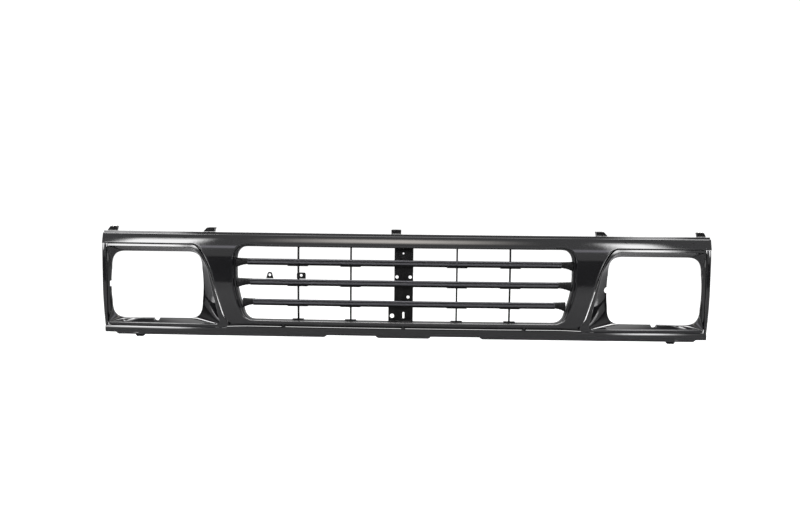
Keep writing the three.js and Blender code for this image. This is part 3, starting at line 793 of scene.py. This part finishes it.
def make_lamp_bezel(word, side):
    opening, mouth, strip = opening_loop(), mouth_loop(), strip_loop()
    plane = LAMP["plane"]

    def ring(loop, y):
        return columns(side * loop[:, 0], y, loop[:, 1])

    mouth_y, strip_y = (face_at(*loop.T) + MOUTH["back"] for loop in (mouth, strip))
    outwards = -inward(mouth)
    edge, lip = 1.3, 0.8      # radii of the mouth's edge and of the opening's lip
    rings = [ring(strip, strip_y + WALL), ring(strip, strip_y + 0.6),
             ring(strip + inward(strip) * 0.3, strip_y), ring(strip + inward(strip) * 0.7, strip_y),
             ring(mouth + outwards * 1.7, mouth_y)]
    for share in (0.0, 0.25, 0.5, 0.75, 1.0):       # the mouth's rounded edge
        turn = share * math.pi / 2
        flat = mouth + outwards * edge * (1 - math.sin(turn))
        rings.append(ring(flat, mouth_y + edge * (1 - math.cos(turn))))
    deep = plane - 2.2
    for share in np.linspace(0, 1, 9)[1:]:          # the funnel's wall
        flat = mouth + (opening - inward(opening) * lip - mouth) * share
        rings.append(ring(flat, mouth_y + edge + (deep - mouth_y - edge) * share))
    for share in (0.35, 0.7, 1.0):                  # the rolled lip of the opening
        turn = share * math.pi / 2
        flat = opening - inward(opening) * lip * (1 - math.sin(turn))
        rings.append(ring(flat, deep + 2 * lip * (1 - math.cos(turn))))
    rear = plane + WALL
    rings += [ring(opening, rear - 0.3), ring(opening - inward(opening) * 0.3, rear)]
    rings += [ring(flange_loop(), rear), ring(flange_loop(), plane)]
    behind = -inward(opening) * WALL
    rings += [ring(opening + behind, plane)]
    for share in (0.25, 0.5, 0.75, 1.0):            # the funnel's hidden outer side
        flat = opening + behind + (mouth + outwards * WALL - opening - behind) * share
        rings.append(ring(flat, plane + (mouth_y + WALL + 0.4 - plane) * share))
    bezel = make_object(f"lamp_bezel_{word}", np.vstack(rings), loft_faces(rings, closed=True), sharp=24)
    notch_x = LAMP["inner"] if side > 0 else -LAMP["outer"]
    cutters = []
    for x, z in ((notch_x, 97), (side * 520, LAMP["bottom"])):
        start = plane - (4 if x < 0 and x == notch_x else 9)
        profile = [(0, start), (6.4, start), (6.0, plane - 1), (6.0, 70), (0, 70)]
        cutters.append(lathe("notch", profile, (x, 0, z), steps=40))
    return carve(bezel, cutters)


for word, side in SIDES:
    settle(make_lamp_bezel(word, side), "gloss_black", f"lamp_bezel_{word}")

# ---- Valance ----

HEMS = ((-604, -158), (-56, 57), (158, 605))


def make_valance():
    top, waist, base, depth, half = values(VALANCE, "top waist base depth half")
    tuck = profile_at(base)
    section = rounded([
        (tuck + 1.4, top, 1.0), (tuck, waist, 20), (tuck + 1.5, base, 1.6), (tuck + depth, base, 0.6),
        (tuck + depth, base + WALL, 0.6), (tuck + 4, base + WALL, 1), (tuck + WALL, waist, 8),
        (tuck + 4, top - WALL, 1), (tuck + 26, top - WALL, 0.6), (tuck + 26, top, 0.6),
    ], 5)

    def place(points, x):
        ring = along_x(points, x, -dip_at(x))
        ring[:, 1] = np.minimum(ring[:, 1], LAMP["plane"] - GAP)
        return ring

    parts = [swept("valance", section, stations_between(-half, half, 10), place, CRISP)]
    for x0, x1 in HEMS:
        low, high = VALANCE["flange"], base + 1.5
        outline = rounded([(x0 + 5, low, 3), (x1 - 5, low, 3), (x1, base - 1, 2), (x1, high, 0),
                           (x0, high, 0), (x0, base - 1, 2)])
        hem = plate("hem", outline, tuck + 2.2, 2.5, edge=0.8, grid=(10, 3),
                    follow=lambda x, z: sweep_at(x))
        for vertex in hem.data.vertices:
            vertex.co.z -= float(dip_at((vertex.co.x - ORIGIN.x) / MM)) * MM
        parts.append(hem)
    return join(parts + lamp_bosses(LAMP_SCREW_Z["bottom"] - 0.5, 3.5, (4.6, 4.4, 4)))


settle(make_valance(), "gloss_black", "valance")

# ---- End posts ----

def make_end_post(word, side):
    top, bottom = RAIL_EDGE - GAP, VALANCE["top"] - VALANCE["dip"] + GAP
    outer, inner, back = values(POST, "outer inner depth")
    plan = rounded([
        (inner, 1.5, 0.8), (outer - 2.2, 0.8, 1.2), (outer, 3, 1.2), (outer, back, 0.6),
        (outer - WALL, back, 0.6), (outer - WALL, 1.5 + WALL, 1), (inner, 1.5 + WALL, 0.8),
    ])

    def place(points, z):
        narrowing = POST["taper"] * max(0, 1 - z / TUCK_START) ** 2
        x = points[:, 0] - narrowing * np.clip((points[:, 0] - inner - 1) / 2, 0, 1)
        return columns(side * x, points[:, 1] + face_at(x, z), z)

    return swept(f"end_post_{word}", plan, np.linspace(bottom, top, 24), place, CRISP)


for word, side in SIDES:
    settle(make_end_post(word, side), "gloss_black", f"end_post_{word}")

# ---- Slats and their feet ----

def slat_section(z):
    """A blade open to the rear: rolled top edge, fine groove, flat face, undercut lip and two walls."""
    y, depth, wall = profile_at(z) + SLAT["front"], SLAT["depth"], 2.2
    low, high = z - SLAT["height"] / 2, z + SLAT["height"] / 2
    return rounded([
        (y + 0.9, high, 1.7), (y + 0.3, high - 3.2, 0.4), (y + 1.5, high - 3.8, 0.3),
        (y + 1.5, high - 5.2, 0.3), (y + 0.1, high - 5.8, 0.4), (y + 0.5, low + 4.4, 1),
        (y + 3.6, low + 3.8, 0.6), (y + 4.6, low, 0.9), (y + depth, low + 2.4, 0.6),
        (y + depth, low + 2.4 + wall, 0.6), (y + 7, low + wall, 1), (y + 3.4, low + 6.2, 1),
        (y + 3.4, high - wall, 1), (y + depth, high - 2.4 - wall, 0.6), (y + depth, high - 2.4, 0.6),
    ], 5)


def make_slat(level, index):
    z, end = SLAT["centres"][index], SLAT["ends"][index]
    blade = swept(f"slat_{level}", slat_section(z), stations_between(-end, end, 10), along_x)
    studs = []
    for _, side in SIDES:
        x = side * (end - 3.2)
        y = face_at(x, z) + SLAT["front"] + 0.6
        profile = [(0, -1.0), (0.9, -0.8), (1.3, -0.2), (1.4, 0.8), (0, 0.8)]
        studs.append(lathe("stud", profile, (x, y, z + 1.5)))
    return join([blade, *studs])


def window_half_width(z):
    loop = window_outline()
    loop = loop[loop[:, 0] > 0]
    order = np.argsort(loop[:, 1])
    return float(np.interp(z, loop[order, 1], loop[order, 0]))


def make_slat_foot(level, index, word, side):
    """A flared foot with fine ribs, from the blade's end to the window's side wall."""
    z, inner = SLAT["centres"][index], SLAT["ends"][index] + GAP
    half = SLAT["height"] / 2
    outer = min(window_half_width(z + half + 1.5), window_half_width(z - half - 7.5)) - GAP
    unit = rounded([(0, -1, 0.35), (0, 1, 0.35), (1, 0.8, 0.1), (1, -0.8, 0.1)], 5)

    def place(points, share):
        x = side * (inner + share * (outer - inner))
        flare = share ** 1.8
        up, down = half + flare, half + 7 * flare
        ridge = 0.45 * (0.5 - 0.5 * math.cos(2 * math.pi * share * 4))
        height = np.where(points[:, 1] > 0, up - ridge, down - ridge)
        heights = z + points[:, 1] * height
        y = face_at(x, heights) + SLAT["front"] + 1 - 0.5 * flare + ridge + points[:, 0] * (SLAT["depth"] - 1)
        return columns(x, y, heights)

    return swept(f"slat_foot_{level}_{word}", unit, np.linspace(0, 1, 22), place)


for index, level in enumerate(LEVELS):
    settle(make_slat(level, index), "satin_graphite", f"slat_{level}")
    for word, side in SIDES:
        settle(make_slat_foot(level, index, word, side), "raw_black", f"slat_foot_{level}_{word}")

# ---- Ribs and centre bracket ----

def upright_stations():
    return np.linspace(WINDOW["bottom"] + GAP, WINDOW["top"] - GAP, 40)


def make_rib(word, x):
    thick, depth, front = values(RIB, "thick depth front")
    section = rectangle((x - thick / 2, x + thick / 2), (front, front + depth), 0.7, 0.7, 0.5, 0.5)
    parts = [swept(f"rib_{word}", section, upright_stations(),
                   lambda points, z: columns(points[:, 0], points[:, 1] + face_at(x, z), z))]
    for z in SLAT["centres"]:
        top = z - SLAT["height"] / 2 + 1.2
        y = face_at(x, z) + front
        parts.append(block("saddle", (x - 21, x + 21), (y - 7, y + 4), (top - 3.5, top), 0.7))
    low = WINDOW["bottom"] + GAP
    y = face_at(x, low) + front
    parts.append(block("foot", (x - 12, x + 12), (y - 3, y + 4), (low, low + 1.7), 0.6))
    return join(parts)


for word, step in (("outer_left", -2), ("inner_left", -1), ("inner_right", 1), ("outer_right", 2)):
    settle(make_rib(word, step * RIB["pitch"]), "raw_black", f"rib_{word}")


def make_centre_bracket():
    low, high = WINDOW["bottom"] + GAP, WINDOW["top"] - GAP
    front = RIB["front"]
    left, right, foot, knee, sheet = -19.5, 19.5, -31.5, 60, 1.5
    outline = rounded([(foot, low, 1), (right, low, 1), (right, high, 1), (left, high, 1), (left, knee, 1.5),
                       (foot, knee, 2)])
    slot = rectangle((-2, 2), (33, 47), 1.9)
    holes = [circle(-14, 120, 3.4), circle(13.4, 120, 3.4), circle(9.3, 78.3, 3.2), circle(-23.6, 38.4, 4.6),
             circle(-1, 169, 1.8), slot]

    def bend(x, z):
        return profile_at(z)

    parts = [plate("centre_bracket", outline, front, 2.5, holes, 0.5, bend, (7, 7))]
    for x in (left, right - sheet):
        section = rectangle((x, x + sheet), (front + 1, front + 9), 0.4, 0.4, 0.6, 0.6)
        parts.append(swept("flange", section, upright_stations(),
                           lambda points, z: columns(points[:, 0], points[:, 1] + profile_at(z), z)))
    panel = rectangle((-5.5, 5.5), (62, 150), 1.5)
    parts.append(plate("panel", panel, front - 0.9, 2, (), 0.8, bend, (5, 7)))
    return join(parts)


settle(make_centre_bracket(), "raw_black", "centre_bracket")

# ---- Badge ears ----

EAR_HOLE = 7.2                # height of the hole above the blade


def make_badge_ear(node):
    low, high = box_of(node)
    x, width, base = (low[0] + high[0]) / 2, high[0] - low[0], low[2]
    shoulder = width * (0.22 if node.endswith("outer") else 0.42)
    top = high[2]
    outline = rounded([(x - width / 2, base, 0.4), (x + width / 2, base, 0.4),
                       (x + shoulder + 1.5, top - 3, 3), (x + shoulder, top, 2.5),
                       (x - shoulder, top, 2.5), (x - shoulder - 1.5, top - 3, 3)])
    hole, rim = (circle(x, base + EAR_HOLE, radius) for radius in (2.9, 4.3))
    return join([plate(node, outline, low[1], high[1] - low[1], [hole], 0.5, grid=(4, 4)),
                 plate("rim", rim, low[1] - 0.7, 1.5, [hole], 0.5, grid=(4, 4))])


for node in ("badge_ear_outer", "badge_ear_inner"):
    settle(make_badge_ear(node), "raw_black", node)

# ---- Tabs, spring nuts, pegs ----

# Place, width, slant of the outer edge and length of the ear.
TABS = {
    "end_left": (-612.5, 14, -6, 15),
    "inner_left": (-404, 15, -8, 24),
    "centre": (-16.5, 20, 0, 24),
    "inner_right": (404, 15, 8, 24),
    "end_right": (613, 14, 4, 15),
}
TAB_HOLE = 0.56               # place of the hole along an ear


def lay_flat(piece, height):
    """Turns a plate drawn in X and Z into one lying in X and Y, its face up at the given height."""
    for vertex in piece.data.vertices:
        x, y, z = (vertex.co - ORIGIN) / MM
        vertex.co = Vector(to_frame((x, z, height - y)))
    piece.data.flip_normals()
    return piece


def make_tab(word):
    x, width, slant, length = TABS[word]
    y = float(face_at(x, TOP)) + LIP_BACK + 12
    base = TOP + GAP
    left, right = x - width / 2, x + width / 2
    upright = rounded([(left - max(0, -slant), base, 0.5), (right + max(0, slant), base, 0.5),
                       (right, TAB_TOP, 0.8), (left, TAB_TOP, 0.8)])
    ear = rectangle((left, right), (y, y + length), 0.5, 0.5, 2, 2)
    hole = circle(x, y + TAB_HOLE * length, 3.2)
    parts = [plate(f"tab_{word}", upright, y, 2.5, (), 0.6, grid=(5, 3)),
             lay_flat(plate("ear", ear, 0, 2.5, [hole], 0.5, grid=(4, 4)), TAB_TOP)]
    gusset = rounded([(y + 1, base, 0.3), (y + 0.54 * length, base, 0.3), (y + 0.83 * length, TAB_TOP - 1, 1),
                      (y + 1, TAB_TOP - 1, 0.3)])
    for edge in (left, right - 2):
        parts.append(swept("gusset", gusset, (edge, edge + 2), flat_across))
    return join(parts)


for word in TABS:
    settle(make_tab(word), "raw_black", f"tab_{word}")


def make_spring_nut(node, tab):
    """A strip folded round the tab's ear and bored through both leaves."""
    low, high = box_of(node)
    x = (low[0] + high[0]) / 2
    y0, y1, z0, z1, sheet = low[1], high[1], low[2], high[2], 0.8
    section = rounded([
        (y0 + 1, z0, 0.2), (y1, z0, 1.6), (y1, z1, 1.6), (y0, z1, 0.2), (y0, z1 - sheet, 0.2),
        (y1 - sheet, z1 - sheet, 0.9), (y1 - sheet, z0 + sheet, 0.9), (y0 + 1, z0 + sheet, 0.2),
    ])
    leaf = swept(node, section, np.linspace(low[0], high[0], 6), flat_across)
    bore = lathe("bore", [(0, z0 - 5), (2.6, z0 - 5), (2.6, z1 + 5), (0, z1 + 5)],
                 (x, y0 + (TAB_HOLE - 0.3) * TABS[tab][3], 0), "z")
    return carve(leaf, [bore])


def make_peg(node):
    """A chamfered peg with three grooves down its front."""
    low, high = box_of(node)
    x, half = (low[0] + high[0]) / 2, (high[0] - low[0]) / 2
    front, groove = low[1], low[1] + 1.6
    left = [(-half, front, 0.6), (-half * 0.72, front, 0.3), (-half * 0.66, groove, 0.3),
            (-half * 0.5, groove, 0.3), (-half * 0.44, front, 0.4), (-1.2, front, 0.3), (-0.9, groove, 0.3)]
    right = [(-u, v, radius) for u, v, radius in reversed(left)]
    plan = rounded([*left, *right, (half, high[1], 0.8), (-half, high[1], 0.8)], 3)

    def place(points, z):
        taper = min(1, (6 + (z - low[2])) / half)
        return columns(x + points[:, 0] * taper, points[:, 1], z)

    heights = [low[2], low[2] + 1, low[2] + 2, low[2] + 3, (low[2] + high[2]) / 2, high[2]]
    return swept(node, plan, heights, place)


for word, side in SIDES:
    settle(make_spring_nut(f"spring_nut_{word}", f"end_{word}"), "zinc", f"spring_nut_{word}")
    settle(make_peg(f"locating_peg_{word}"), "raw_black", f"locating_peg_{word}")

# ---- Screws ----

def screw_profile(length):
    """Pan head, shank with a coarse thread, and a point: (radius, distance) pairs from the head's crown."""
    head = [(0, 0), (1.6, 0.05), (2.8, 0.35), (3.8, 1.0), (4.3, 1.9), (4.3, 2.5), (1.7, 2.6)]
    thread = []
    for turn in range(int((length - 2.5) / 1.4)):
        start = 2.9 + 1.4 * turn
        thread += [(1.45, start), (1.95, start + 0.5), (1.95, start + 0.7), (1.45, start + 1.2)]
    return [*head, *thread, (1.3, length + 0.6), (0, length + 2.6)]


CROSS = ((0.55, 2.1), (2.1, 0.55))    # half sizes of the two bars of a screw head's recess


def make_screw(node, axis, length):
    """A screw whose head faces the rear, or down where its axis is z."""
    low, high = box_of(node)
    centre = (low + high) / 2
    along, across, sense = (1, 2, -1) if axis == "y" else (2, 1, 1)
    crown = high[1] if axis == "y" else low[2]
    centre[along] = crown
    piece = lathe(node, [(r, sense * d) for r, d in screw_profile(length)], centre, axis, 20)
    cross = []
    for a, b in CROSS:
        ranges = {0: (centre[0] - a, centre[0] + a), across: (centre[across] - b, centre[across] + b)}
        ranges[along] = sorted((crown + sense * 1.3, crown - sense * 2))
        cross.append(block("recess", ranges[0], ranges[1], ranges[2], 0.1))
    return carve(piece, cross)


for word, side in SIDES:
    for row in ("top", "bottom"):
        for place in ("inner", "outer"):
            node = f"bezel_screw_{word}_{row}_{place}"
            settle(make_screw(node, "y", 12), "zinc", node)

for number in (1, 2, 3):
    settle(make_screw(f"valance_screw_{number}", "z", 9), "zinc", f"valance_screw_{number}")

# ---- Studio ----

# Metres, in the frame's own axes.
FLOOR_DEPTH = 0.35            # below the grille's middle
PANEL_DEPTH = -2.4            # the softboxes stand this far in front
CAMERA = {"focal": 40.5, "pitch": 4.9, "yaw": 1.55, "roll": 0.6, "place": (42.2, -1826, 303.1)}


def stage_plane(name, w, h):
    """A flat sheet of half sizes w and h."""
    mesh = bpy.data.meshes.new(name)
    mesh.from_pydata([(-w, -h, 0), (w, -h, 0), (w, h, 0), (-w, h, 0)], [], [(0, 1, 2, 3)])
    plane = add_object(name, mesh)
    return plane


def seen_by_camera(tree, direct, reflected):
    """One strength for the camera's own rays and another, an output, for reflections."""
    camera_ray = add_node(tree, "ShaderNodeLightPath").outputs["Is Camera Ray"]
    return add_node(tree, "ShaderNodeMix", Factor=camera_ray, A=reflected, B=direct).outputs["Result"]


def make_floor():
    """A pale sheet that glows a little, whose front edge shows as a line in the gloss of the pillars."""
    near, far = -3.0, 4.0
    floor = stage_plane("floor", 3.0, (far - near) / 2)
    floor.location = (0, (near + far) / 2, -FLOOR_DEPTH)
    material, tree, shader = new_material("pale_floor", (0.2, 0.2, 0.205), 0.9)
    shader.inputs["Emission Color"].default_value = (1, 1, 1, 1)
    reflected = spread(tree, generated(tree)["Y"], 0.12, 0.36, 0.5, 0.1)
    tree.links.new(seen_by_camera(tree, 0.95, reflected), shader.inputs["Emission Strength"])
    floor.data.materials.append(material)


def make_softbox(name, place, size, strength, soft=(0.5, 0.5), tint=(1, 1, 1), upright=True):
    """A glowing panel that fades to clear at its edges and is seen only in reflections."""
    panel = stage_plane(name, size[0] / 2, size[1] / 2)
    panel.location = place
    panel.rotation_euler.x = math.pi / 2 if upright else 0
    panel.visible_camera = False
    panel.visible_shadow = False
    material = bpy.data.materials.new(name)
    material.use_nodes = True
    tree = material.node_tree
    tree.nodes.clear()
    fades = []
    for axis, share in zip(("X", "Y"), soft):
        off_centre = arithmetic(tree, "SUBTRACT", generated(tree)[axis], 0.5)
        distance = arithmetic(tree, "ABSOLUTE", off_centre, 0)
        fades.append(spread(tree, distance, 0.5 - 0.5 * share, 0.5, 1, 0))
    level = arithmetic(tree, "MULTIPLY", arithmetic(tree, "MULTIPLY", *fades), strength)
    glow = add_node(tree, "ShaderNodeEmission", Color=(*tint, 1), Strength=level)
    both = add_node(tree, "ShaderNodeAddShader")
    tree.links.new(glow.outputs[0], both.inputs[0])
    tree.links.new(add_node(tree, "ShaderNodeBsdfTransparent").outputs[0], both.inputs[1])
    add_node(tree, "ShaderNodeOutputMaterial", Surface=both.outputs[0])
    panel.data.materials.append(material)


def make_world():
    """White to the camera; in reflections pale in front and behind, dark at the sides and below the horizon."""
    world = bpy.data.worlds.new("studio")
    bpy.context.scene.world = world
    world.use_nodes = True
    tree = world.node_tree
    tree.nodes.clear()
    way = generated(tree)
    front = spread(tree, way["Y"], -0.58, -0.42, 0.8, 0.15)
    high = spread(tree, way["Z"], -0.08, -0.035, 0.17, 1)
    room = arithmetic(tree, "MULTIPLY", front, high)
    behind = spread(tree, way["Y"], 0.3, 0.55, 0, 1.45)
    strength = seen_by_camera(tree, 1.1, arithmetic(tree, "ADD", room, behind))
    background = add_node(tree, "ShaderNodeBackground", Color=(1, 1, 1, 1), Strength=strength)
    add_node(tree, "ShaderNodeOutputWorld", Surface=background.outputs[0])


def make_camera():
    data = bpy.data.cameras.new("camera")
    data.sensor_width = 36
    data.lens = CAMERA["focal"]
    camera = add_object("camera", data)
    pitch, yaw, roll = (math.radians(CAMERA[k]) for k in ("pitch", "yaw", "roll"))
    forward = Vector((-math.sin(yaw) * math.cos(pitch), math.cos(yaw) * math.cos(pitch), -math.sin(pitch)))
    level = forward.cross(Vector((0, 0, 1))).normalized()
    upright = level.cross(forward)
    right = level * math.cos(roll) + upright * math.sin(roll)
    up = upright * math.cos(roll) - level * math.sin(roll)
    turn = Matrix((right, up, -forward)).transposed().to_4x4()
    camera.matrix_world = Matrix.Translation(Vector(to_frame(CAMERA["place"]))) @ turn
    bpy.context.scene.camera = camera


make_floor()
make_world()
make_softbox("softbox_left", (-1.70, PANEL_DEPTH, 1.18), (0.74, 1.9), 20, (0.5, 0.5))
make_softbox("softbox_middle", (-0.15, PANEL_DEPTH, 1.86), (2.1, 0.8), 9, (0.95, 0.8), (1, 0.94, 0.88))
make_softbox("softbox_right", (1.45, PANEL_DEPTH, 1.18), (0.56, 1.9), 20, (0.8, 0.5))
make_softbox("glow_wall", (0, PANEL_DEPTH - 0.2, 1.0), (4.4, 0.5), 2.4, (0.2, 0.9), (0.9, 0.88, 1))
make_softbox("overhead", (0, -0.3, 2.2), (2.2, 1.5), 7, upright=False)
for word, side in SIDES:
    make_softbox(f"overhead_{word}", (side * 1.6, -0.3, 2.2), (1.5, 1.5), 26, upright=False)
    glow_place = (side * 1.25, -0.1, 0.01 - FLOOR_DEPTH)
    make_softbox(f"floor_glow_{word}", glow_place, (0.6, 1.2), 2.5, upright=False)
make_camera()
bpy.context.scene.view_settings.view_transform = "Standard"
